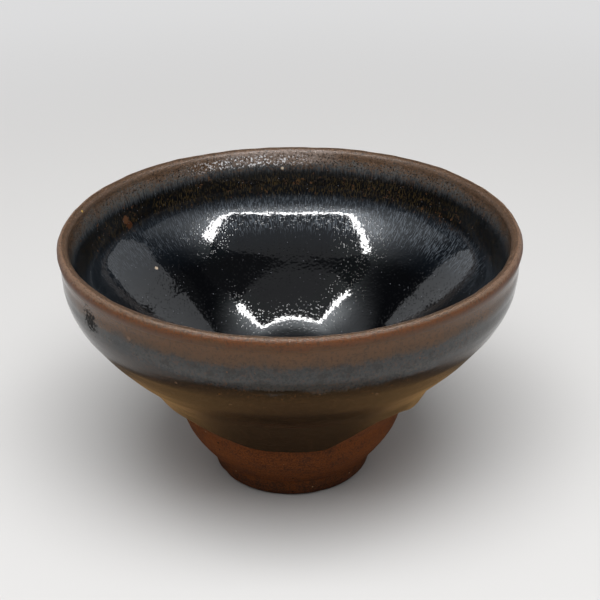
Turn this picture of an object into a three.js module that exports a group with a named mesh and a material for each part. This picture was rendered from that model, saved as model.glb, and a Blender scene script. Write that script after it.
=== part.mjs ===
// Tenmoku tea bowl: dark stoneware thrown in one piece, its foot turned from the same clay,
// with one coat of glaze inside and one outside that stops above the foot in a thick, wavy roll.
// Millimetres, +Z up. The origin is the centre of the foot ring's resting face, and -Y is the front.
import * as THREE from 'three';

// The bowl as a whole
const mouthDiameter = 124;
const bowlHeight = 71;

// The lip, and the ridge that the thrower's finger left under it on the inside
const lipThickness = 3;
const lipRounding = 2;
const ridgeDrop = 5;
const ridgeInset = 0.6;

// The foot ring
const footDiameter = 45.6;
const footHeight = 6;
const footTaper = 1.3;
const footBevel = 1.3;
const footRingWidth = 6.6;
const footInnerBevel = 0.7;
const footRecessDepth = 2.5;

// The bare clay that was turned between the foot and the wall
const ledgeWidth = 1.4;
const ledgeHeight = 1.4;
const turnedDiameter = 61.8;
const turnedHeight = 13.4;

// The clay under the well
const floorThickness = 11.6;

// The outside of the wall: shares of its height and of its spread, from the turned clay to the lip
const wallShares = [
  [0, 0], [0.06, 0.06], [0.145, 0.175], [0.31, 0.394], [0.475, 0.646], [0.64, 0.846],
  [0.75, 0.93], [0.86, 0.961], [0.93, 0.97], [1, 1],
];

// The inside of the wall: shares of its height and of its spread, from the ridge to the well's floor
const insideShares = [
  [1, 1], [0.922, 0.987], [0.847, 0.972], [0.779, 0.94], [0.713, 0.891], [0.639, 0.823], [0.553, 0.731],
  [0.461, 0.621], [0.362, 0.516], [0.266, 0.432], [0.179, 0.379], [0.106, 0.323], [0.037, 0.231], [0, 0],
];

// The glaze, which stands off the clay by a hair
const glazeSeat = 0.15;
const coatThickness = 0.55;
const coatFade = 12;
const poolThickness = 2.2;
const bareLipDrop = 4.8;
const bareRidgeShare = 0.3;

// The outside coat's lower edge: its lowest height, how far it climbs, and its roll and drip
const glazeLineHeight = 20.9;
const glazeLineClimb = 10.3;
const rollThickness = 1.1;
const rollHeight = 4.5;
const rollNose = 1.3;
const dripThickness = 0.6;
const dripAzimuth = 56;
const dripSpread = 14;

// Turns of that edge: degrees round from the front, towards +X, and its share of the climb there
const glazeLineShares = [
  [-48, 0.77], [-16, 0.03], [15, 0], [36, 1], [43, 1.04], [57, 0.78], [108, 0.62],
  [150, 0.28], [205, 0.6], [255, 0.3], [312, 0.77],
];

// How finely the curves are drawn
const roundSegments = 64;
const wallStepsPerSpan = 2;
const turnedSteps = 5;
const lipSteps = 6;
const noseShares = [0.1, 0.3, 0.6, 1];
const climbSteps = 5;
const wellPoolPower = 6;

// Sizes that follow from those above
const mouthRadius = mouthDiameter / 2;
const innerMouthRadius = mouthRadius - lipThickness;
const footRadius = footDiameter / 2;
const turnedRadius = turnedDiameter / 2;
const turnedBase = footHeight + ledgeHeight;
const turnedTop = turnedBase + turnedHeight;
const lipBase = bowlHeight - lipRounding;
const ridgeHeight = bowlHeight - ridgeDrop;
const floorHeight = footRecessDepth + floorThickness;

const point = (radius, height) => new THREE.Vector2(radius, height);
const range = (count) => Array.from({ length: count }, (_, step) => step);

// The foot's outside and the ledge over it, from the resting face up
function footOutline() {
  const neck = footRadius - footTaper;
  return [
    point(neck - footBevel, 0),
    point(neck, footBevel),
    point(footRadius, footHeight),
    point(footRadius + ledgeWidth, turnedBase),
  ];
}

// The turned clay swells quickly over the ledge and stands upright where the wall begins
function turnedOutline() {
  const start = footRadius + ledgeWidth;
  return range(turnedSteps).map((step) => {
    const share = (step + 1) / turnedSteps;
    const radius = THREE.MathUtils.lerp(start, turnedRadius, Math.sin((share * Math.PI) / 2));
    return point(radius, turnedBase + share * turnedHeight);
  });
}

// The wall flares, turns upright and draws in a little under the lip
function wallOutline() {
  const knots = wallShares.map(([rise, spread]) => point(
    THREE.MathUtils.lerp(turnedRadius, mouthRadius, spread),
    THREE.MathUtils.lerp(turnedTop, lipBase, rise),
  ));
  const spans = knots.length - 1;
  return new THREE.SplineCurve(knots).getPoints(spans * wallStepsPerSpan).slice(1);
}

// The lip is half an ellipse, from the outside over its crest to the inside
function lipOutline() {
  const centre = mouthRadius - lipThickness / 2;
  return range(lipSteps - 1).map((step) => {
    const turn = ((step + 1) / lipSteps) * Math.PI;
    const radius = centre + (lipThickness / 2) * Math.cos(turn);
    return point(radius, lipBase + lipRounding * Math.sin(turn));
  });
}

// The inside slopes in more gently than the outside, to a low swell, then drops again into the deep well
function insideOutline() {
  const ridgeRadius = innerMouthRadius - ridgeInset;
  const wall = insideShares.map(([rise, spread]) => point(
    ridgeRadius * spread,
    THREE.MathUtils.lerp(floorHeight, ridgeHeight, rise),
  ));
  return [point(innerMouthRadius, lipBase), ...wall];
}

// The recess under the foot and the flat ring round it, from the axis out
function footUnderside() {
  const ringOuter = footRadius - footTaper - footBevel;
  const ringInner = ringOuter - footRingWidth;
  return [
    point(0, footRecessDepth),
    point(ringInner, footRecessDepth),
    point(ringInner, footInnerBevel),
    point(ringInner + footInnerBevel, 0),
  ];
}

const outside = [...footOutline(), ...turnedOutline(), ...wallOutline()];
const inside = insideOutline();

// A solid turned about +Z from an outline that starts and ends on the axis
function turned(outline) {
  return new THREE.LatheGeometry(outline, roundSegments).rotateX(Math.PI / 2);
}

// The clay's outside radius at a height
function clayRadius(height) {
  const found = outside.findIndex((p) => p.y > height);
  const [below, above] = outside.slice(found - 1, found + 1);
  return THREE.MathUtils.mapLinear(height, below.y, above.y, below.x, above.x);
}

// The way out of the clay's outside at a height, square to its slope
function clayNormal(height) {
  const reach = coatThickness;
  const growth = clayRadius(height + reach) - clayRadius(height - reach);
  return point(2 * reach, -growth).normalize();
}

// The unit normal at a place of an outline, on the left of its direction of travel
function normalAt(outline, index) {
  const before = outline[Math.max(index - 1, 0)];
  const after = outline[Math.min(index + 1, outline.length - 1)];
  const along = after.clone().sub(before).normalize();
  return point(-along.y, along.x);
}

function stoneware() {
  return turned([...footUnderside(), ...outside, ...lipOutline(), ...inside]);
}

// The inside coat: a thin skin on the wall that runs together into a pool over the floor
function insideCoat() {
  const [lip, ridge] = inside;
  const bed = [lip.clone().lerp(ridge, bareRidgeShare), ...inside.slice(1)];
  const normals = bed.map((_, index) => normalAt(bed, index).negate());
  normals[normals.length - 1] = point(0, 1);
  const lift = (index, height) => bed[index].clone().addScaledVector(normals[index], height);
  const seat = bed.map((_, index) => lift(index, glazeSeat));
  const face = bed.slice(1).map((place, index) => {
    const depth = (ridgeHeight - place.y) / (ridgeHeight - floorHeight);
    const pool = (poolThickness - coatThickness) * depth ** wellPoolPower;
    return lift(index + 1, glazeSeat + coatThickness + pool);
  });
  return turned([...seat.reverse(), ...face]);
}

// The height of the outside coat's edge, smooth between its turns
function glazeLine(azimuth) {
  const [firstTurn] = glazeLineShares[0];
  const around = firstTurn + THREE.MathUtils.euclideanModulo(azimuth - firstTurn, 360);
  const found = glazeLineShares.findIndex(([turn]) => turn > around);
  const [fromTurn, fromShare] = glazeLineShares[found - 1];
  const [toTurn, toShare] = glazeLineShares[found];
  const blend = THREE.MathUtils.smoothstep(around, fromTurn, toTurn);
  return glazeLineHeight + glazeLineClimb * THREE.MathUtils.lerp(fromShare, toShare, blend);
}

// The outside coat's thickness: a round nose at its edge, the roll, the coat, a thin end at the lip
function coatAt(azimuth, rise, drop) {
  const off = THREE.MathUtils.euclideanModulo(azimuth - dripAzimuth + 180, 360) - 180;
  const roll = rollThickness + dripThickness * Math.exp(-((off / dripSpread) ** 2));
  const coat = THREE.MathUtils.lerp(coatThickness, roll, Math.exp(-((rise / rollHeight) ** 2)));
  const nose = 1 - Math.min(rise / rollNose, 1);
  const fade = Math.min(drop / coatFade, 1);
  return coat * Math.sqrt((1 - nose ** 2) * fade);
}

// The heights of one column of the outside coat, from its edge to just under the lip
function coatHeights(line, level) {
  const nose = noseShares.map((share) => line + share * rollNose);
  const start = nose[nose.length - 1];
  const climb = range(climbSteps).map((step) => (
    THREE.MathUtils.lerp(start, level[0], (step + 1) / climbSteps)
  ));
  return [line, ...nose, ...climb, ...level.slice(1)];
}

// One upright section of the outside coat: up its face, then down its seat
function coatSection(azimuth, level) {
  const line = glazeLine(azimuth);
  const top = level[level.length - 1];
  const face = [];
  const seat = [];
  for (const height of coatHeights(line, level)) {
    const clay = point(clayRadius(height), height);
    const normal = clayNormal(height);
    const thickness = coatAt(azimuth, height - line, top - height);
    face.push(clay.clone().addScaledVector(normal, glazeSeat + thickness));
    seat.push(clay.clone().addScaledVector(normal, glazeSeat));
  }
  return [...face, ...seat.slice(1, -1).reverse()];
}

// The outside coat: sections set round the axis and joined into one closed ring
function outsideCoat() {
  const highest = glazeLineHeight + glazeLineClimb + rollHeight;
  const top = bowlHeight - bareLipDrop;
  const level = outside.map((p) => p.y).filter((y) => y > highest && y < top);
  const sections = range(roundSegments).map((step) => (
    coatSection((step / roundSegments) * 360, [...level, top])
  ));
  const rows = sections[0].length;
  const positions = [];
  sections.forEach((section, step) => {
    const turn = (step / roundSegments) * 2 * Math.PI;
    section.forEach((p) => positions.push(p.x * Math.sin(turn), -p.x * Math.cos(turn), p.y));
  });
  const faces = [];
  for (const step of range(roundSegments)) {
    const here = step * rows;
    const next = ((step + 1) % roundSegments) * rows;
    for (const row of range(rows)) {
      const up = (row + 1) % rows;
      faces.push(here + row, next + row, next + up);
      faces.push(here + row, next + up, here + up);
    }
  }
  const geometry = new THREE.BufferGeometry();
  geometry.setAttribute('position', new THREE.Float32BufferAttribute(positions, 3));
  geometry.setIndex(faces);
  geometry.computeVertexNormals();
  return geometry;
}

const bareClay = new THREE.MeshStandardMaterial({ color: 0x4a2a1e, roughness: 0.85, metalness: 0 });
const wellGlaze = new THREE.MeshStandardMaterial({ color: 0x101114, roughness: 0.12, metalness: 0 });
const wallGlaze = new THREE.MeshStandardMaterial({ color: 0x2a211c, roughness: 0.2, metalness: 0 });

function piece(name, geometry, material) {
  const mesh = new THREE.Mesh(geometry, material);
  mesh.name = name;
  return mesh;
}

const bowl = new THREE.Group();
bowl.add(piece('stoneware_body', stoneware(), bareClay));
bowl.add(piece('inside_glaze', insideCoat(), wellGlaze));
bowl.add(piece('outside_glaze', outsideCoat(), wallGlaze));

export default bowl;
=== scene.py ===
"""Looks for a tenmoku tea bowl, made round its CAD frame: thrown clay, two coats of glaze and a stage.

Laid out as a Blender add-on and run as a script. Metres, +Z up, -Y is the front.
"""
import math
import bpy
import numpy as np
from bpy.props import FloatProperty, FloatVectorProperty, IntProperty, PointerProperty
from mathutils import Matrix, Vector


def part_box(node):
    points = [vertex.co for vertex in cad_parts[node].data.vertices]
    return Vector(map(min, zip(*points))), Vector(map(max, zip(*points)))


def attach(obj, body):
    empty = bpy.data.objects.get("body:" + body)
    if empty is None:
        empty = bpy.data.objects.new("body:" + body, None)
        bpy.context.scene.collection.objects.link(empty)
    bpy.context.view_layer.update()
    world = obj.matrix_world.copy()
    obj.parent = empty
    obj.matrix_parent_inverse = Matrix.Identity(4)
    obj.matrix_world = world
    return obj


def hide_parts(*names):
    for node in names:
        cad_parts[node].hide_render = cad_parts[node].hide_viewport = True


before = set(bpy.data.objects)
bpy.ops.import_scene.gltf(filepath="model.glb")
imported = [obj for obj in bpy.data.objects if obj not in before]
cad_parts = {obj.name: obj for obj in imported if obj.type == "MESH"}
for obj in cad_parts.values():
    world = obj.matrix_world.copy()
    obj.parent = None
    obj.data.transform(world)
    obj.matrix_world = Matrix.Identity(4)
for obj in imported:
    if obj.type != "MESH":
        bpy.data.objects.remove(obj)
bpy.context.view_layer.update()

bl_info = {
    "name": "Tenmoku Tea Bowl",
    "version": (1, 0, 0),
    "blender": (4, 5, 0),
    "location": "View3D > Sidebar > Tea Bowl",
    "description": "Dresses a thrown and glazed tea bowl around its CAD frame, with a plain studio",
    "category": "Add Mesh",
}

MM = 0.001
BODY_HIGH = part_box("stoneware_body")[1]

# All places and sizes from here to the first class are in millimetres

# The clay's section, radius and height: from the axis under the foot to the ledge over it
FOOT_SECTION = (
    (0.0, 2.5), (13.6, 2.5), (13.6, 0.7), (14.3, 0.0), (20.2, 0.0), (21.5, 1.3), (22.8, 6.0), (24.2, 7.4),
)
TURNED_TOP = (30.9, 20.8)
# The outside of the wall: shares of its height and of its spread, from the turned clay to the lip
WALL_SHARES = (
    (0, 0), (0.06, 0.06), (0.145, 0.175), (0.31, 0.394), (0.475, 0.646), (0.64, 0.846),
    (0.75, 0.93), (0.86, 0.961), (0.93, 0.97), (1, 1),
)
LIP_THICKNESS = 3.0
LIP_ROUNDING = 2.0
RIDGE_INSET = 0.6
RIDGE_DROP = 5.0
FLOOR_HEIGHT = 14.1
# The inside of the wall: shares of its height and of its spread, from the ridge to the well's floor
INSIDE_SHARES = (
    (1, 1), (0.932, 0.989), (0.866, 0.977), (0.812, 0.958), (0.764, 0.93), (0.72, 0.896), (0.678, 0.861),
    (0.632, 0.817), (0.588, 0.772), (0.541, 0.717), (0.496, 0.662), (0.449, 0.607), (0.401, 0.554),
    (0.349, 0.503), (0.302, 0.461), (0.251, 0.421), (0.203, 0.393), (0.155, 0.364), (0.112, 0.33),
    (0.075, 0.29), (0.037, 0.231), (0, 0),
)
# Points on each span of a curve, and the even step in which the section is then drawn
SPAN_POINTS = 12
SECTION_STEP = 0.08
# How far corners are rounded, how far the rib evened out the inside, and where past the lip it set in
EDGE_SOFTNESS = 0.28
RIB_SOFTNESS = 1.6
RIB_START = (5, 11)
# Distance along the section from the axis under the foot, past which the outside only rises
OUTSIDE_START = 24

# The outside glaze's edge: degrees round from the front towards +X, and its height
GLAZE_LINE = (
    (-48, 28.8), (-16, 21.2), (15, 20.9), (36, 31.2), (43, 31.6), (57, 28.9), (108, 27.3),
    (150, 23.8), (205, 27.1), (255, 24.0), (312, 28.8),
)
# The one heavy drip: where it is and how far it spreads, both in degrees round
DRIP_AZIMUTH = 56.0
DRIP_SPREAD = 14.0
# How far the coats stand off the clay, how thin they are on the crest, and how far from it they fade in
COAT_SEAT = 0.03
LIP_SKIN = 0.05
COAT_FADE = (0.5, 12.0)
# The roll at the outside glaze's edge: how far up the glaze gathers, its round nose, and its end
ROLL_REACH = 4.5
ROLL_NOSE = 1.3
ROLL_END = 9
# The pool of glaze in the well, and how closely it keeps to the floor
POOL_THICKNESS = 2.2
POOL_POWER = 6

# Waves round the bowl: how often each repeats, how deep it is, and its phase
SLOW_WAVES = ((2, 0.10, 0.4), (3, 0.06, 2.1), (5, 0.04, 5.0))
LINE_WAVES = ((7, 0.16, 1.1), (11, 0.12, 3.9), (17, 0.09, 0.6), (29, 0.05, 2.7))
# The lip's own waves. The front of the mouth sinks a little, as it does in the photograph
LIP_WAVES = (
    (1, -0.17, 0.0), (2, -0.22, 0.0), (4, -0.13, 0.0), (13, 0.05, 0.7), (23, 0.04, 2.9), (41, 0.03, 5.2),
    (67, 0.02, 1.9),
)
# The heights between which the slow waves set in, and how far from its crest the lip's own reach
SLOW_WAVES_START = (3, 40)
LIP_WAVES_REACH = 2.5
# Rings up the wall: their spacing, their share of the depth, and their phase
WALL_RINGS = ((6.3, 1.0, 0.0), (3.7, 0.45, 1.3), (2.1, 0.2, 4.1))
TOOL_RINGS = ((1.9, 0.6, 0.5), (1.15, 0.5, 2.2), (0.74, 0.35, 5.1))
# How much of the rings is left inside, where the rib smoothed them away
INSIDE_RINGS = 0.03
# Where the rings set in: the tool's down from the top of the bare clay, and the wall's away from the axis and
# from the lip's crest
BARE_TOP = (36, 30)
AXIS_CALM = (0, 18)
LIP_CALM = (2, 9)
# Small knocks on the foot's edge: degrees round, width in degrees, and depth. Then that edge's height, and
# how far the knocks reach along the section
FOOT_KNOCKS = ((-62, 5, 0.35), (-9, 3, 0.2), (24, 4, 0.3), (97, 6, 0.4), (170, 4, 0.3), (231, 7, 0.35))
KNOCK_HEIGHT = 0.9
KNOCK_REACH = 1.3

# Where the meshes' rows change their step: near the axis, past the recess and the foot, and about the lip
AXIS_GAP = 0.5
RECESS_END = 13
FOOT_END = 25
LIP_ZONE = 4
INSIDE_LIP_ZONE = 8
# Those steps, and how many rows the outside coat has on the wall and against the clay
RECESS_STEP = 0.6
FOOT_STEP = 0.25
BARE_STEP = 0.26
LIP_STEP = 0.4
HIDDEN_STEP = 1.4
INSIDE_LIP_STEP = 0.3
INSIDE_STEP = 0.55
NOSE_STEP = 0.13
ROLL_STEP = 0.4
OUTSIDE_ROWS = 100
SEAT_ROWS = 36

# The camera: the lens that gives the bowl's perspective, where it stands, and its tilt and roll in degrees
CAMERA_LENS = 96.68
CAMERA_PLACE = (2.6, -393.67, 248.34)
CAMERA_TILT = 63.252
CAMERA_ROLL = -0.58

# The soft light that does the real lighting: its size, its place and what it points at
KEY_SIZE = (900, 700)
KEY_PLACE = (0, -350, 950)
KEY_AIM = (0, 0, 30)
# The colours of the even light from all round and of the backdrop that the camera sees
EVEN_LIGHT = (1, 0.99, 0.98)
BACKDROP = (0.72, 0.72, 0.725)
# The backdrop's strength in the glaze, at the horizon and overhead, and how high overhead begins, out of 1
HORIZON_IN_GLOSS = 0.27
OVERHEAD_IN_GLOSS = 0.05
HORIZON_TOP = 0.25

# The lamp over the bowl as its glaze shows it, on a level plane: its outer corners and those of its dim
# face. Each side but the last has a bright rim between them, and the face goes on to its back edge
LAMP_HEIGHT = 400
LAMP_CORNERS = ((-187, 26), (-187, -146), (-140, -169), (192, -181), (214, -140), (228, -12))
LAMP_FACE = ((-168, 24), (-168, -134), (-132, -153), (180, -165), (191, -130), (191, -5))
LAMP_BACK = ((80, -6), (25, -8), (-56, -2), (-118, 20))
LAMP_RIM_COLOUR = (1, 1, 1)
LAMP_FACE_COLOUR = (0.95, 0.97, 1.0)
LAMP_FACE_GLOW = 0.42
LAMP_FACE_LIFT = 1
# The ceiling that the lamp lights, its outline, and its glow by the distance from where the lamp is brightest
CEILING = (
    (-700, -700), (700, -700), (700, 150), (195, 150), (195, -20), (-175, -20), (-175, 300), (-700, 300),
)
CEILING_LIFT = 5
CEILING_COLOUR = (0.9, 0.95, 1.0)
CEILING_GLOW = 5.0
CEILING_SHARES = ((0, 1.0), (40, 0.76), (80, 0.46), (117, 0.3), (180, 0.2), (330, 0.16), (500, 0.1))
# That brightest place: how far it reaches to each side, to the front and to the back
LAMP_REACH = (200, -165, -60)
# The glow fades out between these depths, which come forward to the right and go back beside the lamp.
# Towards the front it falls to a share
CEILING_BACK_FADE = (-110, 110)
CEILING_SLANT = 0.1
CEILING_BEND = 0.5
CEILING_FRONT_FADE = (-380, -150)
CEILING_FRONT_SHARE = 0.3
# The pale openings low on each side, which the glaze shows as grey patches: how far out, how bright, and
# their corners, across and up
OPENING_COLOUR = (0.93, 0.96, 1.0)
SIDE_OPENINGS = (
    (600, 0.93, (
        (205, 340), (250, 215), (560, 275), (700, 400), (880, 540),
        (700, 680), (400, 805), (300, 640), (215, 530),
    )),
    (-600, 1.02, (
        (425, 390), (447, 177), (650, 265), (755, 386), (870, 525),
        (730, 640), (546, 697), (459, 575), (435, 487),
    )),
)

# The floor: how far it reaches, how far under the foot it lies, and where it fades into the backdrop
FLOOR_REACH = 3000
FLOOR_DROP = 0.02
FLOOR_FADE = (200, 480)
# The floor as the glaze shows it: how far it is squeezed in from the sides, and its colours by their distance
FLOOR_SQUEEZE = (1.3, 1, 1)
FLOOR_IN_GLOSS = (
    (20, (0.03, 0.018, 0.011)), (34, (0.055, 0.034, 0.018)), (40, (0.12, 0.07, 0.034)),
    (47, (0.23, 0.135, 0.06)), (60, (0.28, 0.168, 0.073)), (74, (0.25, 0.155, 0.077)),
    (82, (0.14, 0.10, 0.065)), (90, (0.13, 0.11, 0.095)), (102, (0.50, 0.49, 0.48)),
    (118, (0.66, 0.655, 0.65)), (200, (0.66, 0.655, 0.65)),
)


class BowlSizes(bpy.types.PropertyGroup):
    """The sizes that a user would change"""

    mouth_radius: FloatProperty(
        name="Mouth Radius", description="Outside radius at the lip", default=BODY_HIGH.x,
        min=0.03, max=0.2, precision=4, unit="LENGTH", subtype="DISTANCE")
    height: FloatProperty(
        name="Height", description="Height from the foot ring to the lip", default=BODY_HIGH.z,
        min=0.03, max=0.2, precision=4, unit="LENGTH", subtype="DISTANCE")
    coat: FloatProperty(
        name="Glaze Thickness", description="Thickness of the glaze on the wall", default=0.55 * MM,
        min=0.1 * MM, max=2 * MM, precision=5, unit="LENGTH", subtype="DISTANCE")
    roll: FloatProperty(
        name="Roll Thickness", description="Thickness of the glaze where it gathers at its lower edge",
        default=1.1 * MM, min=0.1 * MM, max=4 * MM, precision=5, unit="LENGTH", subtype="DISTANCE")
    drip: FloatProperty(
        name="Drip Thickness", description="How much thicker the one heavy drip is than the roll",
        default=0.7 * MM, min=0, max=4 * MM, precision=5, unit="LENGTH", subtype="DISTANCE")
    throwing_rings: FloatProperty(
        name="Throwing Rings", description="Depth of the rings that the thrower's fingers left",
        default=0.06 * MM, min=0, max=1 * MM, precision=5, unit="LENGTH", subtype="DISTANCE")
    tool_rings: FloatProperty(
        name="Tool Rings", description="Depth of the lines that the turning tool left in the bare clay",
        default=0.04 * MM, min=0, max=1 * MM, precision=5, unit="LENGTH", subtype="DISTANCE")
    segments: IntProperty(
        name="Segments", description="Faces round the bowl", default=360, min=32, max=1024)


class BowlColours(bpy.types.PropertyGroup):
    """The colours that a user would change"""

    clay: FloatVectorProperty(
        name="Bare Clay", description="Iron-rich stoneware, fired", default=(0.104, 0.030, 0.0075),
        size=3, min=0, max=1, subtype="COLOR")
    # Also painted under the roll at the front, as painted shadow
    clay_dark: FloatVectorProperty(
        name="Toasted Clay", description="The darker flashes of the bare clay",
        default=(0.042, 0.019, 0.011), size=3, min=0, max=1, subtype="COLOR")
    black: FloatVectorProperty(
        name="Black Glaze", description="The glaze where it lies thick", default=(0.0021, 0.0023, 0.0029),
        size=3, min=0, max=1, subtype="COLOR")
    brown: FloatVectorProperty(
        name="Brown Glaze", description="The outside glaze on the wall", default=(0.030, 0.0185, 0.0105),
        size=3, min=0, max=1, subtype="COLOR")
    rust: FloatVectorProperty(
        name="Rust", description="The glaze where it runs thin under the lip",
        default=(0.115, 0.040, 0.012), size=3, min=0, max=1, subtype="COLOR")
    # The steel blue also paints the band outside, which is a painted reflection of pale surroundings
    steel: FloatVectorProperty(
        name="Steel Blue", description="The blue-grey band and streaks", default=(0.036, 0.039, 0.041),
        size=3, min=0, max=1, subtype="COLOR")
    lip: FloatVectorProperty(
        name="Dry Lip", description="The dry mouth, where hardly any glaze is left",
        default=(0.112, 0.066, 0.041), size=3, min=0, max=1, subtype="COLOR")


class BowlStage(bpy.types.PropertyGroup):
    """The studio"""

    key_power: FloatProperty(
        name="Key Power", description="Power of the soft light over the bowl", default=12.5,
        min=0, unit="POWER")
    surround: FloatProperty(
        name="Surround", description="Brightness of the even light from all round", default=0.32,
        min=0, max=2)
    rim: FloatProperty(
        name="Lamp Rim", description="Brightness of the lamp's rim as the glaze shows it", default=40.0,
        min=0, max=100)
    floor: FloatVectorProperty(
        name="Floor", description="The pale floor", default=(0.66, 0.655, 0.65), size=3, min=0, max=1,
        subtype="COLOR")


# The section of the clay

def spline(knots):
    """Points on a smooth curve through the knots"""
    p = np.array(knots, float)
    padded = np.vstack([p[:1], p, p[-1:]])
    t = np.linspace(0, 1, SPAN_POINTS, endpoint=False)[:, None]
    spans = []
    for a, b, c, d in zip(padded[:-3], padded[1:-2], padded[2:-1], padded[3:]):
        v0, v1 = (c - a) / 2, (d - b) / 2
        spans.append((2 * b - 2 * c + v0 + v1) * t**3 + (3 * c - 3 * b - 2 * v0 - v1) * t**2 + v0 * t + b)
    return np.vstack([*spans, p[-1:]])


def along(points):
    """Distance along a line of points"""
    return np.concatenate([[0], np.cumsum(np.linalg.norm(np.diff(points, axis=0), axis=1))])


def resampled(points, step):
    """The same line with even steps"""
    s = along(points)
    even = np.linspace(0, s[-1], int(s[-1] / step) + 1)
    return np.stack([np.interp(even, s, points[:, k]) for k in (0, 1)], axis=1)


def softened(points, step, width):
    """The line with its corners rounded. Both its ends lie on the axis and stay there"""
    reach = int(4 * width / step)
    mirror = np.array([-1, 1])
    padded = np.vstack([points[reach:0:-1] * mirror, points, points[-2:-reach - 2:-1] * mirror])
    weights = np.exp(-0.5 * (np.arange(-reach, reach + 1) * step / width) ** 2)
    weights /= weights.sum()
    soft = np.stack([np.convolve(padded[:, k], weights, "valid") for k in (0, 1)], axis=1)
    soft[[0, -1], 0] = 0
    return soft


def smoothstep(value, low, high):
    """Goes smoothly from 0 to 1 as the value goes from low to high"""
    share = np.clip((value - low) / (high - low), 0, 1)
    return share * share * (3 - 2 * share)


def fade(value, span):
    """The same, over a span in millimetres, for a value in metres"""
    low, high = span
    return smoothstep(value, low * MM, high * MM)


def hump(away, reach):
    """1 where the distance is 0, and next to nothing from about twice the reach"""
    return np.exp(-((away / reach) ** 2))


def ridge_height(sizes):
    """Height of the ridge inside the mouth"""
    return sizes.height - RIDGE_DROP * MM


def rough_section(sizes):
    """The clay's section with sharp corners, in millimetres"""
    mouth, height = sizes.mouth_radius / MM, sizes.height / MM
    lip_base = height - LIP_ROUNDING
    turn = np.linspace(0, 1, SPAN_POINTS + 1)[1:, None]
    low, high = np.array(FOOT_SECTION[-1]), np.array(TURNED_TOP)
    turned = low + (high - low) * np.hstack([np.sin(turn * math.pi / 2), turn])
    rise, spread = np.array(WALL_SHARES, float).T
    knots = np.stack([high[0] + (mouth - high[0]) * spread, high[1] + (lip_base - high[1]) * rise], axis=1)
    half_turn = np.linspace(0, math.pi, 2 * SPAN_POINTS + 1)[1:-1]
    centre, reach = mouth - LIP_THICKNESS / 2, LIP_THICKNESS / 2
    lip = np.stack(
        [centre + reach * np.cos(half_turn), lip_base + LIP_ROUNDING * np.sin(half_turn)], axis=1)
    inner_lip = np.array([[mouth - LIP_THICKNESS, lip_base]])
    depth = ridge_height(sizes) / MM - FLOOR_HEIGHT
    rise, spread = np.array(INSIDE_SHARES, float).T
    inside = np.stack([(mouth - LIP_THICKNESS - RIDGE_INSET) * spread, FLOOR_HEIGHT + depth * rise], axis=1)
    return np.vstack([FOOT_SECTION, turned, spline(knots)[1:], lip, inner_lip, spline(inside)])


class Section:
    """The clay's section in metres, from the axis under the foot over the lip to the well's centre"""

    def __init__(self, sizes):
        rough = resampled(rough_section(sizes), SECTION_STEP)
        edges, ribbed = (softened(rough, SECTION_STEP, width) for width in (EDGE_SOFTNESS, RIB_SOFTNESS))
        past_lip = (np.arange(len(rough)) - np.argmax(rough[:, 1]))[:, None] * SECTION_STEP
        blend = smoothstep(past_lip, *RIB_START)
        self.points = (edges + (ribbed - edges) * blend) * MM
        self.s = along(self.points)
        tangent = np.gradient(self.points, self.s, axis=0)
        self.normals = np.stack([tangent[:, 1], -tangent[:, 0]], axis=1)
        self.crest = self.s[np.argmax(self.points[:, 1])]
        self.end = self.s[-1]
        self.rising = slice(np.searchsorted(self.s, OUTSIDE_START * MM), np.searchsorted(self.s, self.crest))

    def at(self, s):
        """Points and outward normals at distances along the section"""
        point = np.stack([np.interp(s, self.s, self.points[:, k]) for k in (0, 1)], axis=-1)
        normal = np.stack([np.interp(s, self.s, self.normals[:, k]) for k in (0, 1)], axis=-1)
        return point, normal / np.linalg.norm(normal, axis=-1, keepdims=True)

    def outside(self, height):
        """Distance along the section to a height on its outside"""
        return np.interp(height, self.points[self.rising, 1], self.s[self.rising])


def waves(angle, table):
    """A sum of waves round the bowl, in metres"""
    return sum(depth * np.cos(turns * angle + phase) for turns, depth, phase in table) * MM


def rings(distance, angle, table):
    """Rings that climb by one spacing in each turn, between -1 and 1"""
    waved = sum(
        share * np.sin(2 * math.pi * distance / (spacing * MM) + angle + phase)
        for spacing, share, phase in table)
    return waved / sum(share for _, share, _ in table)


def degrees_from(angle, azimuth):
    """Degrees round the bowl from a place to an angle in radians, the short way"""
    return (np.degrees(angle) - azimuth + 180) % 360 - 180


def unevenness(section, s, angle, sizes):
    """How far the clay stands off its plain section: rings, slow waves and knocks"""
    radius, height = np.moveaxis(section.at(s)[0], -1, 0)
    past_crest = s - section.crest
    bare = fade(height, BARE_TOP) * (past_crest < 0)
    axis_calm = fade(radius, AXIS_CALM)
    thrown = (1 - bare) * fade(np.abs(past_crest), LIP_CALM) * axis_calm
    thrown = thrown * np.where(past_crest > 0, INSIDE_RINGS, 1)
    off = waves(angle, SLOW_WAVES) * fade(height, SLOW_WAVES_START) * axis_calm
    off = off + sizes.tool_rings * rings(s, angle, TOOL_RINGS) * bare * axis_calm
    off = off + sizes.throwing_rings * rings(height, angle, WALL_RINGS) * thrown
    off = off + waves(angle, LIP_WAVES) * hump(past_crest, LIP_WAVES_REACH * MM)
    foot_edge = hump(s - section.outside(KNOCK_HEIGHT * MM), KNOCK_REACH * MM)
    for azimuth, width, depth in FOOT_KNOCKS:
        off = off - depth * MM * hump(degrees_from(angle, azimuth), width) * foot_edge
    return off


# Meshes

def link(name, data):
    """An object with that data, in the scene"""
    made = bpy.data.objects.new(name, data)
    bpy.context.scene.collection.objects.link(made)
    return made


def placed(section, s, lift, angle, sizes):
    """Points in space: on the clay at distances s, lifted off it, at angles round from the front"""
    point, normal = section.at(s)
    lifted = point + normal * (lift + unevenness(section, s, angle, sizes))[..., None]
    radius, height = lifted[..., 0], lifted[..., 1]
    return np.stack([radius * np.sin(angle), -radius * np.cos(angle), height], axis=-1)


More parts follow.
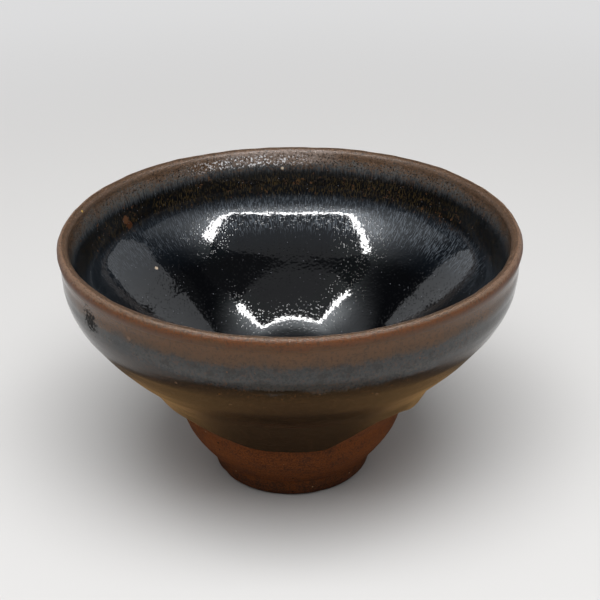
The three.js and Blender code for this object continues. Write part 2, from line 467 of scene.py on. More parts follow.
def turned_mesh(name, grid, capped):
    """A closed mesh from rows of points round the axis: capped at the axis, or joined into a ring"""
    rows, columns = grid.shape[:2]
    points = grid.reshape(-1, 3)
    index = np.arange(rows * columns).reshape(rows, columns)
    lower, upper = (index[:-1], index[1:]) if capped else (index, np.roll(index, -1, axis=0))
    corners = [lower, np.roll(lower, -1, axis=1), np.roll(upper, -1, axis=1), upper]
    faces = np.stack(corners, axis=-1).reshape(-1, 4).tolist()
    if capped:
        for row, turn in ((index[0], -1), (index[-1], 1)):
            centre = len(points)
            points = np.vstack([points, [[0, 0, points[row, 2].mean()]]])
            faces += [(a, b, centre)[::turn] for a, b in zip(row.tolist(), np.roll(row, -1).tolist())]
    mesh = bpy.data.meshes.new(name)
    mesh.from_pydata(points.tolist(), [], faces)
    mesh.update()
    mesh.shade_smooth()
    return link(name, mesh)


def round_angles(sizes):
    """Angles round from the front, one for each face round the bowl"""
    return np.linspace(0, 2 * math.pi, sizes.segments, endpoint=False)


def steps(*spans):
    """Distances over spans joined end to end: from and to in metres, in steps given in millimetres"""
    parts = [np.linspace(a, b, max(2, int(abs(b - a) / (step * MM)) + 1))[:-1] for a, b, step in spans]
    return np.concatenate([*parts, [spans[-1][1]]])


def glaze_edge(angle):
    """Height of the outside glaze's edge at angles round from the front, in metres"""
    turns, heights = np.array(GLAZE_LINE, float).T
    around = turns[0] + (np.degrees(angle) - turns[0]) % 360
    found = np.clip(np.searchsorted(turns, around, "right") - 1, 0, len(turns) - 2)
    blend = smoothstep(around, turns[found], turns[found + 1])
    return (heights[found] + (heights[found + 1] - heights[found]) * blend) * MM + waves(angle, LINE_WAVES)


def make_clay(sizes):
    """The thrown clay, drawn finest where it is bare"""
    section = Section(sizes)
    bare_top = section.outside(BARE_TOP[0] * MM)
    near_lip, past_lip = section.crest - LIP_ZONE * MM, section.crest + LIP_ZONE * MM
    s = steps(
        (AXIS_GAP * MM, RECESS_END * MM, RECESS_STEP), (RECESS_END * MM, FOOT_END * MM, FOOT_STEP),
        (FOOT_END * MM, bare_top, BARE_STEP), (bare_top, near_lip, HIDDEN_STEP),
        (near_lip, past_lip, LIP_STEP), (past_lip, section.end - 2 * AXIS_GAP * MM, HIDDEN_STEP))
    s, angle = np.meshgrid(s, round_angles(sizes), indexing="ij")
    return turned_mesh("thrown_stoneware", placed(section, s, 0 * s, angle, sizes), capped=True)


def skin(sizes, from_crest):
    """Thickness of the coat by its distance from the lip's crest"""
    thin = LIP_SKIN * MM
    return thin + (sizes.coat - thin) * fade(from_crest, COAT_FADE)


def make_inside_glaze(sizes):
    """The inside coat: thin at the lip, an even skin down the wall and a pool in the well"""
    section = Section(sizes)
    start, end = section.crest, section.end - AXIS_GAP * MM
    lip_end = start + INSIDE_LIP_ZONE * MM
    turns = round_angles(sizes)
    rows = steps((start, lip_end, INSIDE_LIP_STEP), (lip_end, end, INSIDE_STEP))
    face, angle = np.meshgrid(rows, turns, indexing="ij")
    height = section.at(face)[0][..., 1]
    top = ridge_height(sizes)
    depth = np.clip((top - height) / (top - FLOOR_HEIGHT * MM), 0, 1)
    pool = (POOL_THICKNESS * MM - sizes.coat) * depth**POOL_POWER
    lift = COAT_SEAT * MM + skin(sizes, face - start) + pool
    seat, seat_angle = np.meshgrid(steps((start, end, HIDDEN_STEP)), turns, indexing="ij")
    grid = np.concatenate([
        placed(section, seat, COAT_SEAT * MM + 0 * seat, seat_angle, sizes)[::-1],
        placed(section, face, lift, angle, sizes),
    ])
    return turned_mesh("inside_glaze_coat", grid, capped=True)


def make_outside_glaze(sizes):
    """The outside coat, from a round nose at its wavy edge over the roll and the drip up to the lip"""
    section = Section(sizes)
    angle = round_angles(sizes)
    edge = section.outside(glaze_edge(angle))
    nose_end, roll_end = ROLL_NOSE * MM, ROLL_END * MM
    low = steps((0, nose_end, NOSE_STEP), (nose_end, roll_end, ROLL_STEP))[:, None]
    shares_up = np.linspace(0, 1, OUTSIDE_ROWS)[1:, None]
    face = np.vstack([edge + low, edge + roll_end + (section.crest - edge - roll_end) * shares_up])
    rise = face - edge
    roll = sizes.roll + sizes.drip * hump(degrees_from(angle, DRIP_AZIMUTH), DRIP_SPREAD)
    nose = 1 - np.clip(rise / nose_end, 0, 1)
    coat = skin(sizes, section.crest - face)
    lift = COAT_SEAT * MM + (coat + (roll - coat) * hump(rise, ROLL_REACH * MM)) * np.sqrt(1 - nose**2)
    seat = section.crest + (edge - section.crest) * np.linspace(0, 1, SEAT_ROWS)[1:-1, None]
    grid = np.concatenate([
        placed(section, face, lift, np.broadcast_to(angle, face.shape), sizes),
        placed(section, seat, COAT_SEAT * MM + 0 * seat, np.broadcast_to(angle, seat.shape), sizes),
    ])
    made = turned_mesh("outside_glaze_coat", grid, capped=False)
    over_edge = made.data.attributes.new("rise", "FLOAT", "POINT")
    rises = np.concatenate([rise, seat - edge]) / MM
    over_edge.data.foreach_set("value", rises.astype(np.float32).ravel())
    return made


# Materials

class Nodes:
    """Short ways to write the nodes of a tree. Colours are given without their alpha"""

    def __init__(self, tree):
        self.tree = tree

    def node(self, kind, **values):
        """A node, with its settings and inputs given by name"""
        made = self.tree.nodes.new(kind)
        for name, value in values.items():
            if hasattr(made, name):
                setattr(made, name, value)
            else:
                self.put(made.inputs[name.replace("_", " ")], value)
        return made

    def put(self, socket, value):
        """Links the value to the socket, or sets it there"""
        if isinstance(value, bpy.types.NodeSocket):
            self.tree.links.new(value, socket)
        elif socket.type == "RGBA":
            socket.default_value = (*value, 1.0)
        else:
            socket.default_value = value

    def fill(self, made, *values):
        """The node, with its first inputs given in their order"""
        for socket, value in zip(made.inputs, values):
            self.put(socket, value)
        return made

    def blend(self, factor, a, b):
        """Shader a where the factor is 0, and b where it is 1"""
        return self.fill(self.node("ShaderNodeMixShader"), factor, a, b).outputs[0]


class Look(Nodes):
    """A material, with short ways to write its masks and to paint with them. Places are in millimetres"""

    def __init__(self, name):
        self.material = bpy.data.materials.new(name)
        self.material.use_nodes = True
        super().__init__(self.material.node_tree)
        self.shader = self.tree.nodes["Principled BSDF"]
        self.surface = self.tree.nodes["Material Output"].inputs["Surface"]
        place = self.node("ShaderNodeTexCoord").outputs["Object"]
        self.place = self.vector("SCALE", place, Scale=1 / MM)
        parts = self.node("ShaderNodeSeparateXYZ", Vector=self.place).outputs
        self.across, self.depth, self.height = parts["X"], parts["Y"], parts["Z"]
        self.aside = self.math("ABSOLUTE", self.across)
        flat = self.node("ShaderNodeCombineXYZ", X=self.across, Y=self.depth).outputs[0]
        self.radius = self.length(flat)
        self.ring = self.vector("NORMALIZE", flat)

    def vector(self, operation, a, b=(0, 0, 0), **values):
        made = self.node("ShaderNodeVectorMath", operation=operation, **values)
        return self.fill(made, a, b).outputs["Vector"]

    def length(self, vector):
        return self.node("ShaderNodeVectorMath", operation="LENGTH", Vector=vector).outputs["Value"]

    def math(self, operation, a, b=0.0):
        return self.fill(self.node("ShaderNodeMath", operation=operation), a, b).outputs[0]

    def product(self, first, *others):
        """The masks and shares, multiplied"""
        for other in others:
            first = self.math("MULTIPLY", first, other)
        return first

    def step(self, value, low, high, to=(0.0, 1.0)):
        """Goes smoothly from one value to the other as its input goes from low to high"""
        made = self.node("ShaderNodeMapRange", interpolation_type="SMOOTHSTEP")
        return self.fill(made, value, low, high, *to).outputs["Result"]

    def band(self, value, low, high, blur):
        """1 between low and high, with soft ends"""
        rising = self.step(value, low - blur, low + blur)
        return self.math("SUBTRACT", rising, self.step(value, high - blur, high + blur))

    def wander(self, value, *noises):
        """The value, moved up and down by pairs of a noise and how far its swings reach"""
        for noise, reach in noises:
            swing = self.math("SUBTRACT", noise, 0.5)
            value = self.math("ADD", value, self.math("MULTIPLY", swing, reach))
        return value

    def noise(self, vector, scale, detail=2.0, roughness=0.5):
        made = self.node("ShaderNodeTexNoise", Vector=vector, Scale=scale, Detail=detail, Roughness=roughness)
        return made.outputs["Fac"]

    def grain(self, size, detail=2.0, roughness=0.5):
        """Even noise with spots of about that size"""
        return self.noise(self.place, 1 / size, detail, roughness)

    def streaks(self, across, down, detail=2.0):
        """Noise drawn out down the wall: how many across a radian, and the length of one"""
        drop = self.node("ShaderNodeCombineXYZ", Z=self.math("MULTIPLY", self.height, 1 / down)).outputs[0]
        spread = self.vector("SCALE", self.ring, Scale=across)
        return self.noise(self.vector("ADD", spread, drop), 1.0, detail)

    def dots(self, spacing, size, share):
        """Small round dots, about one for each spacing, of which that share is kept"""
        cells = self.node("ShaderNodeTexVoronoi", Vector=self.place, Scale=1 / spacing)
        draw = self.node("ShaderNodeSeparateColor", Color=cells.outputs["Color"]).outputs[0]
        near = self.step(cells.outputs["Distance"], size / spacing, 0.4 * size / spacing)
        return self.math("MULTIPLY", near, self.math("LESS_THAN", draw, share))

    def apart(self, centre):
        """How far it is from a place"""
        made = self.node("ShaderNodeVectorMath", operation="DISTANCE")
        return self.fill(made, self.place, centre).outputs["Value"]

    def near(self, centre, inner, outer):
        """1 within the inner distance of a place, fading to 0 at the outer one"""
        return self.step(self.apart(centre), outer, inner)

    def spot(self, centre, size):
        """One mark on the surface, ragged at its edge"""
        ragged = self.math("MULTIPLY", self.grain(0.5 * size, 3), size)
        return self.step(self.math("ADD", self.apart(centre), ragged), 1.6 * size, 1.1 * size)

    def mix(self, factor, a, b):
        """Colour a where the factor is 0, and b where it is 1"""
        made = self.node("ShaderNodeMix", data_type="RGBA")
        for number, value in ((0, factor), (6, a), (7, b)):
            self.put(made.inputs[number], value)
        return made.outputs[2]

    def ramp(self, value, low, high, stops):
        """Colours by a value, from pairs of a number and a colour"""
        share = self.math("DIVIDE", self.math("SUBTRACT", value, low), high - low)
        made = self.node("ShaderNodeValToRGB", Fac=share)
        elements = made.color_ramp.elements
        while len(elements) < len(stops):
            elements.new(1.0)
        for element, (number, colour) in zip(elements, stops):
            element.position = (number - low) / (high - low)
            element.color = (*colour, 1.0)
        return made.outputs["Color"]

    def ground(self, colour):
        """Starts the painting with a colour all over"""
        self.colour = colour

    def paint(self, colour, *masks):
        """Lays a colour over the painting, as strong as the product of its masks"""
        self.colour = self.mix(self.product(*masks), self.colour, colour)

    def marks(self, *marks):
        """Paints single marks, each with its place, its size and its colour"""
        for centre, size, colour in marks:
            self.paint(colour, self.spot(centre, size))

    def bump(self, *layers):
        """Relief from pairs of a height, 0 to 1, and its depth"""
        normal = None
        for height, depth in layers:
            made = self.node("ShaderNodeBump", Height=height, Distance=depth * MM, Strength=1.0)
            if normal is not None:
                self.put(made.inputs["Normal"], normal)
            normal = made.outputs["Normal"]
        self.put(self.shader.inputs["Normal"], normal)

    def shade(self, **values):
        """Sets the shader's own inputs by name"""
        for name, value in values.items():
            self.put(self.shader.inputs[name.replace("_", " ")], value)

    def emission(self, colour, strength=1.0):
        return self.node("ShaderNodeEmission", Color=colour, Strength=strength).outputs[0]


def shares(colour, *factors):
    """A colour times a factor, or times one for each channel"""
    return tuple(c * f for c, f in zip(colour, factors * 3 if len(factors) == 1 else factors))


def clay_look(colours):
    """Rust-brown stoneware: gritty, darker in flashed patches and towards the bottom, with pits and a few
    pale grains. Painted light makes its left and right sides paler, and painted shadow darkens it just under
    the roll at the front
    """
    look = Look("bare_stoneware")
    clay, darker_clay = colours.clay, colours.clay_dark
    # Painted light: the clay is painted paler at the left and right sides, where more light falls on it
    painted_light_at_sides = look.step(look.aside, 8, 20)
    look.ground(look.mix(painted_light_at_sides, shares(clay, 1.1, 1.07, 0.8), shares(clay, 1.4, 1.4, 1.15)))
    flash = look.math("ADD", look.grain(4.0, 4, 0.65), look.step(look.height, 8, 1, (0.0, 0.3)))
    look.paint(darker_clay, look.step(flash, 0.42, 0.8, (0.0, 0.8)))
    # Painted shadow: the clay just under the roll at the front is painted darker, as shade under the glaze
    # roll
    painted_shadow_under_roll = look.near((2.0, -23.0, 21.0), 4, 13)
    look.paint(darker_clay, painted_shadow_under_roll, 0.25)
    grit = look.grain(0.45, 3, 0.65)
    look.paint(shares(clay, 1.75, 1.7, 1.4), look.step(grit, 0.5, 0.6, (0.0, 0.6)))
    look.paint(shares(darker_clay, 0.6), look.step(grit, 0.48, 0.38, (0.0, 0.6)))
    pit_cluster = look.product(look.dots(1.1, 0.3, 0.6), look.near((16.3, -15.5, 14.5), 2, 6))
    pits = look.math("MAXIMUM", look.dots(2.2, 0.45, 0.25), pit_cluster)
    look.paint(shares(darker_clay, 0.25), pits)
    pale_grains = look.dots(2.6, 0.28, 0.16)
    look.paint((0.42, 0.27, 0.15), pale_grains)
    look.shade(Base_Color=look.colour, Roughness=0.8, Specular_IOR_Level=0.15)
    look.bump((look.grain(1.6, 2), 0.08), (grit, 0.1), (pits, -0.15))
    return look.material


def paint_inside_wall(look, colours, fine):
    """From the black well up: blue-silver streaks, rust and gold ones, and pale steel under the lip"""
    black, steel = colours.black, colours.steel
    higher_left = look.product(look.step(look.across, -15, -50), look.step(look.height, 61, 64, (0.0, 1.1)))
    ragged = look.wander(look.height, (look.streaks(120, 4, 3), 4.0), (fine, 3.0))
    ragged = look.math("ADD", ragged, higher_left)
    look.ground(look.ramp(ragged, 15, 72, (
        (15, black), (44, black), (49, shares(steel, 0.12, 0.15, 0.2)), (53.5, shares(steel, 0.2, 0.24, 0.3)),
        (56.2, shares(steel, 0.3, 0.35, 0.43)), (58.0, shares(steel, 0.12, 0.14, 0.18)),
        (59.3, shares(black, 1.3)), (63.8, shares(black, 1.7, 1.7, 1.5)),
        (64.9, shares(steel, 0.45, 0.48, 0.52)), (66.0, shares(steel, 1.35, 1.37, 1.4)),
        (67.2, shares(steel, 2.5, 2.4, 2.25)), (69.5, shares(steel, 3.2, 2.9, 2.6)),
    )))
    silver = look.product(look.step(fine, 0.51, 0.6), look.band(ragged, 49.8, 57.2, 2.0))
    to_the_back = look.step(look.depth, -5, 30, (0.1, 1.0))
    to_the_right = look.step(look.across, -40, -15, (0.4, 1.0))
    look.paint(shares(steel, 1.9, 2.05, 2.3), silver, to_the_back, to_the_right)
    gold = look.product(look.step(fine, 0.5, 0.61), look.band(ragged, 58, 64, 1.5))
    in_groups = look.step(look.streaks(11, 8), 0.3, 0.6, (0.3, 1.0))
    look.paint(shares(colours.rust, 0.32, 0.64, 0.85), gold, in_groups)


def paint_inside_mouth(look, colours, speckle):
    """The dry mouth inside: tan, with a painted sheen that pales it at the back, pitted and flecked, and pale
    specks of painted glint
    """
    height, lip, rust = look.height, colours.lip, colours.rust
    patches = look.grain(9.0, 2)
    tan = look.step(look.wander(height, (patches, 7.0), (speckle, 13.0)), 66.6, 69.6)
    look.paint(shares(lip, 0.95, 0.95, 0.9), tan)
    flecks = look.step(look.grain(1.0, 3, 0.7), 0.5, 0.58)
    look.paint(shares(lip, 0.95, 0.9, 0.75), flecks, look.band(height, 65, 70, 1.0), 0.5)
    # Painted sheen: a pale patch under the lip at the back, where the glaze would reflect the lamp and the
    # pale surroundings
    painted_sheen_at_back = look.spot((-5.0, 60.0, 69.0), 20.0)
    look.paint((0.25, 0.195, 0.165), painted_sheen_at_back, look.step(height, 66.2, 67.6, (0.0, 0.75)))
    pitted = look.step(look.grain(0.9, 3, 0.75), 0.47, 0.4)
    look.paint(shares(lip, 0.5), pitted, look.step(height, 65.5, 67.5), 0.8)
    clumps = look.product(look.step(look.grain(1.3, 3, 0.7), 0.58, 0.68), look.band(height, 57, 70, 2))
    look.paint(shares(rust, 0.7, 1.0, 1.6), clumps, look.step(patches, 0.44, 0.6))
    crest = look.step(look.wander(height, (speckle, 2.0)), 70.2, 70.9)
    look.paint(shares(lip, 0.8, 0.76, 0.68), crest)
    dark = look.step(speckle, 0.46, 0.36)
    look.paint(shares(rust, 0.16, 0.26, 0.45), dark, look.step(height, 64, 67))
    pale = look.step(look.grain(0.7, 3, 0.75), 0.56, 0.63)
    look.paint(shares(lip, 2.0, 2.1, 2.3), pale, look.step(height, 65, 68), 0.7)
    # Painted glint: pale specks painted at the back of the mouth, where the grainy glaze would catch the lamp
    painted_glints = look.product(look.step(look.grain(0.7, 2, 0.7), 0.54, 0.61), look.band(height, 66.4, 69.4, 0.7))
    look.paint((0.7, 0.7, 0.72), painted_glints, look.near((-12.0, 56.5, 67.5), 6, 24))


def inside_look(colours):
    """Black glaze with fine streaks: brown at the lip, rust and gold under the ridge, then blue-silver"""
    look = Look("inside_glaze")
    rust = colours.rust
    paint_inside_wall(look, colours, look.streaks(190, 1.3, 3))
    paint_inside_mouth(look, colours, look.grain(0.55, 2, 0.7))
    look.marks(
        ((-46.6, 32.0, 58.6), 1.3, shares(rust, 0.45, 0.5, 0.8)),
        ((-47.4, 31.4, 60.6), 1.3, shares(rust, 0.8, 1.0, 1.5)),
        ((-2.3, 57.8, 65.4), 0.5, (0.5, 0.42, 0.32)),
        ((-38.8, 26.9, 47.2), 0.6, (0.45, 0.36, 0.27)),
        ((31.2, 48.0, 58.8), 0.8, shares(rust, 0.8)),
        ((6.6, 57.5, 61.2), 0.7, shares(rust, 0.9)),
        ((20.4, 54.0, 60.5), 0.6, shares(rust, 0.8)),
        ((-57.4, 15.3, 70.3), 0.42, (0.65, 0.42, 0.1)),
    )
    grey_dots = look.dots(1.2, 0.19, 0.3)
    look.paint((0.1, 0.105, 0.12), grey_dots)
    drier = look.step(look.height, 67.0, 70.5, (0.05, 0.42))
    look.shade(Base_Color=look.colour, Roughness=drier, Specular_IOR_Level=0.5)
    pinholes = look.dots(0.7, 0.3, 0.6)
    dry = look.product(look.grain(0.6, 2), look.step(look.height, 65.5, 68))
    look.bump((look.grain(3.2, 0), 0.012), (look.grain(0.9, 0), 0.011), (pinholes, -0.011), (dry, 0.13))
    return look.material


def paint_outside_wall(look, colours, fine, patches, speckle):
    """From the roll up: brown, a dark ring of painted shade and brown again, a steel-blue band that is a
    painted reflection of pale surroundings, brown-grey and rust, all of it speckled
    """
    height, brown, steel, rust = look.height, colours.brown, colours.steel, colours.rust
    # The steel-blue band is a painted reflection of pale surroundings. These two shifts move its edges at the
    # left and right, to follow where that reflection lies
    left = look.product(look.step(look.across, -3, -42, (0.0, -3.9)), look.band(height, 52.5, 61.5, 2))
    right = look.product(look.step(look.across, 10, 45, (0.0, -1.6)), look.band(height, 53, 61, 2))
    ragged = look.wander(height, (fine, 2.6), (look.streaks(9, 12), 3.0), (patches, 3.0))
    ragged = look.math("ADD", ragged, look.math("ADD", left, right))
    look.ground(look.ramp(ragged, 20, 72, (
        (20, shares(brown, 0.55)), (28, shares(brown, 0.58)), (34, shares(brown, 0.72)),
        # Painted shade: the dark stops at 39.8 and 42.2 mm paint a ring of shade above the roll
        (37.5, shares(brown, 0.7)), (39.8, shares(brown, 0.35)), (42.2, shares(brown, 0.22)),
        (44.3, shares(brown, 0.62)), (52.6, shares(brown, 0.7)), (54.2, shares(brown, 0.45)),
        # Painted reflection: the steel stops from 55.2 to 61.8 mm paint the band that stands in for pale
        # surroundings
        (55.2, shares(steel, 0.7)), (56.8, shares(steel, 1.3, 1.22, 1.12)),
        (60.0, shares(steel, 1.0, 0.98, 0.94)), (61.8, shares(steel, 0.9, 0.86, 0.8)),
        (63.2, shares(rust, 0.55, 0.85, 1.3)), (66.3, shares(rust, 0.85, 1.05, 1.0)),
        (68.0, shares(rust, 0.8, 0.9, 0.55)), (68.8, shares(rust, 0.9, 0.76, 0.2)),
        (70.0, shares(rust, 0.95, 0.75, 0.12)),
    )))
    look.paint(shares(rust, 0.8, 0.95, 1.2), look.step(speckle, 0.51, 0.63, (0.0, 0.45)))
    look.paint(shares(brown, 0.35), look.step(speckle, 0.49, 0.38, (0.0, 0.5)))
    blotches = look.step(look.grain(2.6, 4, 0.7), 0.5, 0.62)
    look.paint(shares(brown, 0.5, 0.6, 0.8), blotches, look.band(height, 57, 64, 2), 0.5)
    streak = look.band(look.wander(height, (fine, 1.6), (speckle, 2.0)), 54.9, 56.0, 0.3)
    look.paint(shares(brown, 0.25), look.near((-3.0, -59.8, 55.3), 4, 8), streak)
    above_edge = look.node("ShaderNodeAttribute", attribute_name="rise").outputs["Fac"]
    look.paint(shares(rust, 0.3, 0.3, 0.4), look.step(above_edge, 0.9, 0.15))


def paint_outside_marks(look, colours, speckle, smudge):
    """Rust flecks all over, and the few single marks that the photograph shows"""
    brown, lip = colours.brown, colours.lip
    flecks = look.dots(2.2, 0.3, 0.3)
    look.paint(shares(colours.rust, 1.0, 1.2, 1.3), flecks, look.band(look.height, 40, 68, 3))
    look.marks(
        ((-39.1, -47.2, 63.8), 0.7, shares(lip, 1.1, 1.0, 0.8)),
        ((-14.7, -54.0, 48.8), 0.4, lip),
        ((21.1, -53.7, 51.2), 0.4, lip),
        ((-27.8, -52.6, 54.2), 0.45, lip),
        ((-22.4, -33.8, 31.7), 1.2, shares(brown, 0.25)),
        ((55.9, -26.6, 68.4), 0.7, shares(brown, 0.5)),
    )
    dusky = look.wander(look.near((-41.6, -45.1, 61.5), 1, 7), (speckle, 1.6))
    look.paint(shares(colours.steel, 0.7), look.step(dusky, 0.5, 1.0, (0.0, 0.7)))
    look.paint(shares(brown, 0.15), smudge)


def paint_outside_mouth(look, colours, fine, speckle, rough):
    """The dry mouth outside, painted paler at the left and right as painted light, and roughened in pale and
    dark
    """
    height, lip = look.height, colours.lip
    # Painted light: the dry crest is painted paler at the left and right sides, where more light falls on it
    dry = look.mix(look.step(look.aside, 35, 58), shares(lip, 0.76, 0.73, 0.62), shares(lip, 1.55))
    look.paint(dry, look.step(look.wander(height, (fine, 2.2), (speckle, 1.6)), 69.9, 70.5))
    look.paint(shares(lip, 1.35, 1.25, 1.1), look.step(rough, 0.52, 0.6), look.step(height, 69.9, 70.6))
    look.paint(shares(lip, 0.42, 0.36, 0.28), look.step(rough, 0.47, 0.37), look.step(height, 68.8, 69.8))


def outside_look(colours):
    """Brown-black glaze: dry lip, rust, brown-grey, a steel-blue band that is a painted reflection, brown
    with a ring of painted shade, and black in the roll
    """
    look = Look("outside_glaze")
    fine, patches, speckle = look.streaks(140, 1.8, 3), look.grain(4.0, 3), look.grain(0.8, 4, 0.75)
    smudge = look.wander(look.near((-50.0, -35.8, 62.8), 0, 6.5), (look.grain(0.9, 4, 0.8), 3.2))
    smudge = look.step(smudge, 0.5, 0.8)
    rough = look.grain(0.7, 3, 0.75)
    paint_outside_wall(look, colours, fine, patches, speckle)
    paint_outside_marks(look, colours, speckle, smudge)
    paint_outside_mouth(look, colours, fine, speckle, rough)
    drier = look.step(look.height, 65.5, 69.5, (0.1, 0.5))
    look.shade(
        Base_Color=look.colour, Roughness=look.math("MAXIMUM", drier, smudge), Specular_IOR_Level=0.5)
    dry = look.product(rough, look.step(look.height, 67, 70))
    look.bump((patches, 0.06), (look.grain(0.6, 2, 0.6), 0.02), (fine, 0.012), (dry, 0.14))
    return look.material


def dress(made, material, node):
    """Gives a piece its look, and puts it in its CAD node's place"""
    made.data.materials.append(material)
    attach(made, "root")
    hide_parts(node)


# Stage

def flat_mesh(name, corners, faces):
    """An object of flat faces, from corners in millimetres"""
    mesh = bpy.data.meshes.new(name)
    mesh.from_pydata([Vector(c) * MM for c in corners], [], faces)
    mesh.update()
    return link(name, mesh)


def glowing(name, colour, strength):
    """A material that only glows"""
    look = Look(name)
    look.put(look.surface, look.emission(colour, strength))
    return look.material


def lit_ceiling():
    """A glow that is brightest beside the lamp, fades away from it, and is dark behind it"""
    look = Look("lit_ceiling")
    side, front, back = LAMP_REACH
    beside = look.math("MAXIMUM", look.math("SUBTRACT", look.aside, side))
    before = look.math("MAXIMUM", look.math("SUBTRACT", front, look.depth))
    behind = look.math("MAXIMUM", look.math("SUBTRACT", look.depth, back))
    away = look.length(look.node("ShaderNodeCombineXYZ", X=beside, Y=before, Z=behind).outputs[0])
    stops = [(distance, shares(CEILING_COLOUR, share)) for distance, share in CEILING_SHARES]
    glow = look.ramp(away, 0, CEILING_SHARES[-1][0], stops)
    slant = look.math("MULTIPLY", look.across, CEILING_SLANT)
    slant = look.math("SUBTRACT", slant, look.math("MULTIPLY", beside, CEILING_BEND))
    to_the_back = look.step(look.math("ADD", look.depth, slant), *CEILING_BACK_FADE, (1, 0))
    to_the_front = look.step(look.depth, *CEILING_FRONT_FADE, (CEILING_FRONT_SHARE, 1))
    strength = look.product(to_the_back, to_the_front, CEILING_GLOW)
    look.put(look.surface, look.emission(glow, strength))
    return look.material


def seen_in_gloss_only(made, material):
    """Shows a lamp in the glaze, and neither to the camera nor as light on anything"""
    made.data.materials.append(material)
    made.visible_camera = made.visible_diffuse = made.visible_shadow = False


def lamp_rim():
    """The lamp's bright rim: a strip along each side of it but the last"""
    corners = [(*p, LAMP_HEIGHT) for p in (*LAMP_CORNERS, *LAMP_FACE)]
    count = len(LAMP_CORNERS)
    return corners, [(i, i + 1, count + i + 1, count + i) for i in range(count - 1)]


def level_face(outline, lift):
    """The corners of a level panel just over the lamp's rim, and its one face"""
    return [(*p, LAMP_HEIGHT + lift) for p in outline], [tuple(range(len(outline)))]


def make_lamps(stage):
    """The lamps as the glaze shows them"""
    rim = flat_mesh("lamp_rim", *lamp_rim())
    seen_in_gloss_only(rim, glowing("lamp_rim", LAMP_RIM_COLOUR, stage.rim))
    face = flat_mesh("lamp_face", *level_face((*LAMP_FACE, *LAMP_BACK), LAMP_FACE_LIFT))
    seen_in_gloss_only(face, glowing("lamp_face", LAMP_FACE_COLOUR, LAMP_FACE_GLOW))
    seen_in_gloss_only(flat_mesh("lit_ceiling", *level_face(CEILING, CEILING_LIFT)), lit_ceiling())
    for number, (out, strength, outline) in enumerate(SIDE_OPENINGS):
        corners = [(out, across, up) for across, up in outline]
        opening = flat_mesh(f"side_opening_{number}", corners, [tuple(range(len(corners)))])
        seen_in_gloss_only(opening, glowing("side_opening", OPENING_COLOUR, strength))


def make_key(stage):
    """The large soft light over and before the bowl, which does the real lighting"""
    lamp = bpy.data.lights.new("key", "AREA")
    lamp.shape = "RECTANGLE"
    lamp.size, lamp.size_y = (side * MM for side in KEY_SIZE)
    lamp.energy = stage.key_power
    made = link("key", lamp)
    made.location = Vector(KEY_PLACE) * MM
    made.rotation_euler = (Vector(KEY_AIM) * MM - made.location).to_track_quat("-Z", "Y").to_euler()
    made.visible_glossy = False


def make_world(stage):
    """Even light from all round. The glaze sees it pale near the horizon and dark overhead"""
    world = bpy.data.worlds.new("studio")
    bpy.context.scene.world = world
    world.use_nodes = True
    studio = Nodes(world.node_tree)
    even = studio.fill(world.node_tree.nodes["Background"], EVEN_LIGHT, stage.surround).outputs[0]
    shown = studio.node("ShaderNodeBackground", Color=BACKDROP).outputs[0]
    direction = studio.node("ShaderNodeTexCoord").outputs["Generated"]
    up = studio.node("ShaderNodeSeparateXYZ", Vector=direction).outputs["Z"]
    fall = studio.fill(
        studio.node("ShaderNodeMapRange"), up, 0, HORIZON_TOP, HORIZON_IN_GLOSS, OVERHEAD_IN_GLOSS).outputs[0]
    mirrored = studio.node("ShaderNodeBackground", Color=BACKDROP, Strength=fall).outputs[0]
    path = studio.node("ShaderNodeLightPath").outputs
    unseen = studio.blend(path["Is Glossy Ray"], even, mirrored)
    seen = studio.blend(path["Is Camera Ray"], unseen, shown)
    studio.put(world.node_tree.nodes["World Output"].inputs["Surface"], seen)


def make_floor(stage):
    """A wide pale floor that fades into the backdrop. Gloss sees it dim and warm close to the bowl"""
    sides = ((-1, -1), (1, -1), (1, 1), (-1, 1))
    corners = [(x * FLOOR_REACH, y * FLOOR_REACH, -FLOOR_DROP) for x, y in sides]
    made = flat_mesh("floor", corners, [(0, 1, 2, 3)])
    look = Look("pale_floor")
    look.shade(Base_Color=stage.floor, Roughness=0.9, Specular_IOR_Level=0.1)
    away = look.length(look.vector("MULTIPLY", look.place, FLOOR_SQUEEZE))
    mirrored = look.ramp(away, FLOOR_IN_GLOSS[0][0], FLOOR_IN_GLOSS[-1][0], FLOOR_IN_GLOSS)
    in_gloss = look.node("ShaderNodeLightPath").outputs["Is Glossy Ray"]
    near = look.blend(in_gloss, look.shader.outputs[0], look.emission(mirrored))
    look.put(look.surface, look.blend(look.step(look.radius, *FLOOR_FADE), near, look.emission(BACKDROP)))
    made.data.materials.append(look.material)


def make_camera():
    """The camera at the photograph's angle"""
    data = bpy.data.cameras.new("camera")
    data.lens = CAMERA_LENS
    made = link("camera", data)
    made.location = Vector(CAMERA_PLACE) * MM
    tilt = Matrix.Rotation(math.radians(CAMERA_TILT), 3, "X")
    roll = Matrix.Rotation(math.radians(CAMERA_ROLL), 3, "Z")
    made.rotation_euler = (tilt @ roll).to_euler()
    bpy.context.scene.camera = made


# Operators, panel and main

class AddClay(bpy.types.Operator):
    """Adds the thrown stoneware: wall, lip, turned clay and foot"""

    bl_idname = "tea_bowl.add_clay"
    bl_label = "Thrown Stoneware"

    def execute(self, context):
        made = make_clay(context.scene.bowl_sizes)
        dress(made, clay_look(context.scene.bowl_colours), "stoneware_body")
        return {"FINISHED"}


class AddInsideGlaze(bpy.types.Operator):
    """Adds the coat of glaze inside the bowl"""

    bl_idname = "tea_bowl.add_inside_glaze"
    bl_label = "Inside Glaze"

    def execute(self, context):
        made = make_inside_glaze(context.scene.bowl_sizes)
        dress(made, inside_look(context.scene.bowl_colours), "inside_glaze")
        return {"FINISHED"}


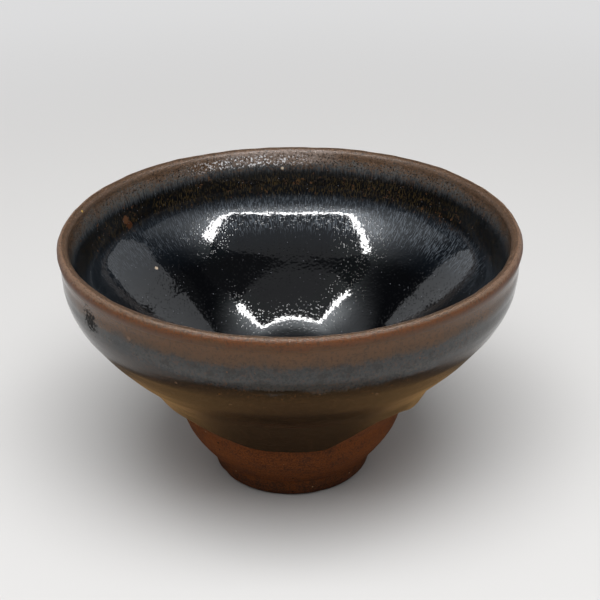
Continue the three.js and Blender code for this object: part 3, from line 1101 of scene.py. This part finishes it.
class AddOutsideGlaze(bpy.types.Operator):
    """Adds the coat of glaze outside, with its wavy rolled edge and its drip"""

    bl_idname = "tea_bowl.add_outside_glaze"
    bl_label = "Outside Glaze"

    def execute(self, context):
        made = make_outside_glaze(context.scene.bowl_sizes)
        dress(made, outside_look(context.scene.bowl_colours), "outside_glaze")
        return {"FINISHED"}


class AddStage(bpy.types.Operator):
    """Adds the floor, the lights and the camera"""

    bl_idname = "tea_bowl.add_stage"
    bl_label = "Stage"

    def execute(self, context):
        stage = context.scene.bowl_stage
        make_floor(stage)
        make_world(stage)
        make_key(stage)
        make_lamps(stage)
        make_camera()
        context.scene.view_settings.view_transform = "Standard"
        return {"FINISHED"}


class BowlPanel(bpy.types.Panel):
    """Lists the pieces, their sizes and their colours"""

    bl_idname = "VIEW3D_PT_tea_bowl"
    bl_label = "Tea Bowl"
    bl_space_type = "VIEW_3D"
    bl_region_type = "UI"
    bl_category = "Tea Bowl"

    def draw(self, context):
        for operator in OPERATORS:
            self.layout.operator(operator.bl_idname)
        for name in GROUPS:
            box = self.layout.box()
            for setting in getattr(context.scene, name).bl_rna.properties:
                if setting.identifier not in ("rna_type", "name"):
                    box.prop(getattr(context.scene, name), setting.identifier)


GROUPS = {"bowl_sizes": BowlSizes, "bowl_colours": BowlColours, "bowl_stage": BowlStage}
OPERATORS = (AddClay, AddInsideGlaze, AddOutsideGlaze, AddStage)


def register():
    for one in (*GROUPS.values(), *OPERATORS, BowlPanel):
        bpy.utils.register_class(one)
    for name, group in GROUPS.items():
        setattr(bpy.types.Scene, name, PointerProperty(type=group))


def unregister():
    for name in GROUPS:
        delattr(bpy.types.Scene, name)
    for one in reversed((*GROUPS.values(), *OPERATORS, BowlPanel)):
        bpy.utils.unregister_class(one)


def main():
    register()
    bpy.ops.tea_bowl.add_clay()
    bpy.ops.tea_bowl.add_inside_glaze()
    bpy.ops.tea_bowl.add_outside_glaze()
    bpy.ops.tea_bowl.add_stage()


if __name__ == "__main__":
    main()
